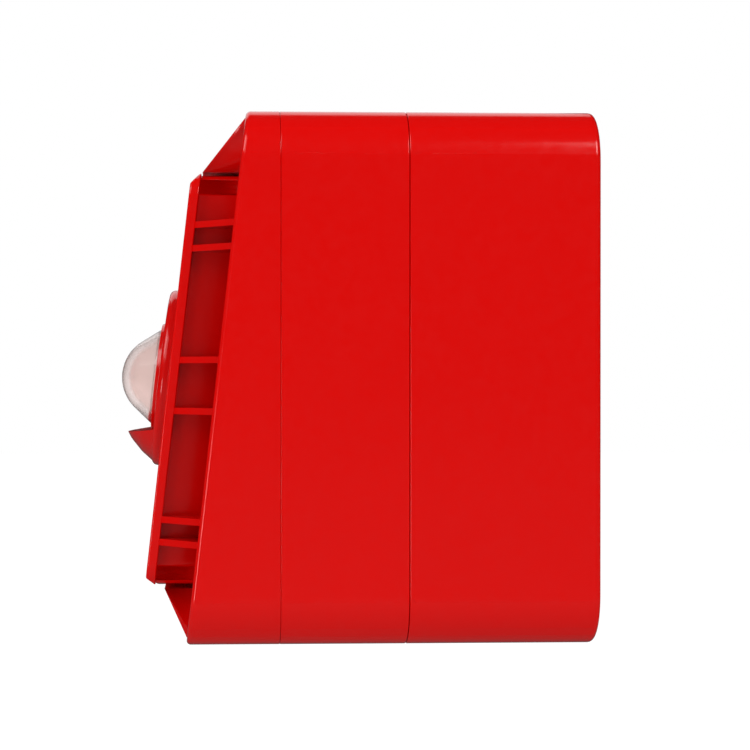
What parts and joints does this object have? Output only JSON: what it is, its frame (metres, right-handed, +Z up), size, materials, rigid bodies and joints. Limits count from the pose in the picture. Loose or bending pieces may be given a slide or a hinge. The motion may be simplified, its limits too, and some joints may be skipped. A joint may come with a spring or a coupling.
{
  "type": "horn strobe",
  "caption": "Square wall-mounted alarm with a sounder behind a leaning, ribbed front plate and a domed strobe lens, on a deep back box.",
  "frame": {"origin": "centre of the back face that lies on the wall", "axes": "+Z up, +Y into the wall, the front faces -Y"},
  "size_m": [0.12, 0.1088, 0.12],
  "materials": {
    "red_abs": "gloss moulded",
    "clear_pc": "clear moulded polycarbonate",
    "epdm": "matt moulded rubber",
    "fr4": "solder resist on board",
    "green_nylon": "moulded nylon",
    "white_nylon": "moulded nylon",
    "blue_nylon": "moulded nylon",
    "dark_nylon": "moulded nylon",
    "can_sleeve": "shrunk sleeve",
    "lead_sleeve": "extruded insulation",
    "reflector_metal": "metallised",
    "brass": "rolled sheet",
    "zinc_steel": "zinc plated"
  },
  "bodies": {
    "base": {"back_box": "red_abs", "rear_cable_grommet": "epdm", "base_seal": "epdm", "terminal_board": "fr4", "terminal_block": "green_nylon", "terminal_screw_1": "zinc_steel", "terminal_screw_2": "zinc_steel", "terminal_screw_3": "zinc_steel", "terminal_screw_4": "zinc_steel", "terminal_screw_5": "zinc_steel", "terminal_screw_6": "zinc_steel", "plug_socket": "white_nylon", "board_screw_1": "zinc_steel", "board_screw_2": "zinc_steel"},
    "head": {"rear_shell": "red_abs", "shell_seal": "epdm", "front_cover": "red_abs", "horn_grille": "red_abs", "lens_bezel": "red_abs", "strobe_lens": "clear_pc", "lens_seal": "epdm", "strobe_reflector": "reflector_metal", "strobe_emitter": "white_nylon", "strobe_board": "fr4", "sounder_cup": "dark_nylon", "piezo_disc": "brass", "piezo_clamp_ring": "dark_nylon", "main_board": "fr4", "controller_chip": "dark_nylon", "boost_coil": "dark_nylon", "reservoir_capacitor_1": "can_sleeve", "reservoir_capacitor_2": "can_sleeve", "plug_header": "white_nylon", "switch_body": "blue_nylon", "volume_body": "blue_nylon", "strobe_lead": "lead_sleeve", "sounder_lead": "lead_sleeve", "horn_screw_1": "zinc_steel", "shell_screw_1": "zinc_steel", "horn_screw_2": "zinc_steel", "shell_screw_2": "zinc_steel", "horn_screw_3": "zinc_steel", "shell_screw_3": "zinc_steel", "horn_screw_4": "zinc_steel", "shell_screw_4": "zinc_steel", "strobe_board_screw_1": "zinc_steel", "sounder_screw_1": "zinc_steel", "main_board_screw_1": "zinc_steel", "strobe_board_screw_2": "zinc_steel", "sounder_screw_2": "zinc_steel", "main_board_screw_2": "zinc_steel"},
    "switch_slider_1": {"switch_slider_1": "white_nylon"},
    "switch_slider_2": {"switch_slider_2": "white_nylon"},
    "switch_slider_3": {"switch_slider_3": "white_nylon"},
    "switch_slider_4": {"switch_slider_4": "white_nylon"},
    "switch_slider_5": {"switch_slider_5": "white_nylon"},
    "switch_slider_6": {"switch_slider_6": "white_nylon"},
    "volume_rotor": {"volume_rotor": "white_nylon"},
    "locking_screw": {"locking_screw": "zinc_steel"}
  },
  "joints": [
    {"name": "head_release", "type": "slide", "parent": "base", "child": "head", "axis": [0, -1, 0], "range_m": [0, 0.06]},
    {"name": "switch_1", "type": "slide", "parent": "head", "child": "switch_slider_1", "axis": [0, 0, 1], "range_m": [-0.0016, 0]},
    {"name": "switch_2", "type": "slide", "parent": "head", "child": "switch_slider_2", "axis": [0, 0, 1], "range_m": [0, 0.0016]},
    {"name": "switch_3", "type": "slide", "parent": "head", "child": "switch_slider_3", "axis": [0, 0, 1], "range_m": [-0.0016, 0]},
    {"name": "switch_4", "type": "slide", "parent": "head", "child": "switch_slider_4", "axis": [0, 0, 1], "range_m": [-0.0016, 0]},
    {"name": "switch_5", "type": "slide", "parent": "head", "child": "switch_slider_5", "axis": [0, 0, 1], "range_m": [0, 0.0016]},
    {"name": "switch_6", "type": "slide", "parent": "head", "child": "switch_slider_6", "axis": [0, 0, 1], "range_m": [0, 0.0016]},
    {"name": "volume_turn", "type": "hinge", "parent": "head", "child": "volume_rotor", "pos_m": [0.016, -0.0507, 0.018], "axis": [0, -1, 0], "range_deg": [0, 270]},
    {"name": "locking_screw_turn", "type": "hinge", "parent": "head", "child": "locking_screw", "pos_m": [0, -0.049, -0.054], "axis": [0, 0, 1], "range_deg": [0, 720]}
  ]
}
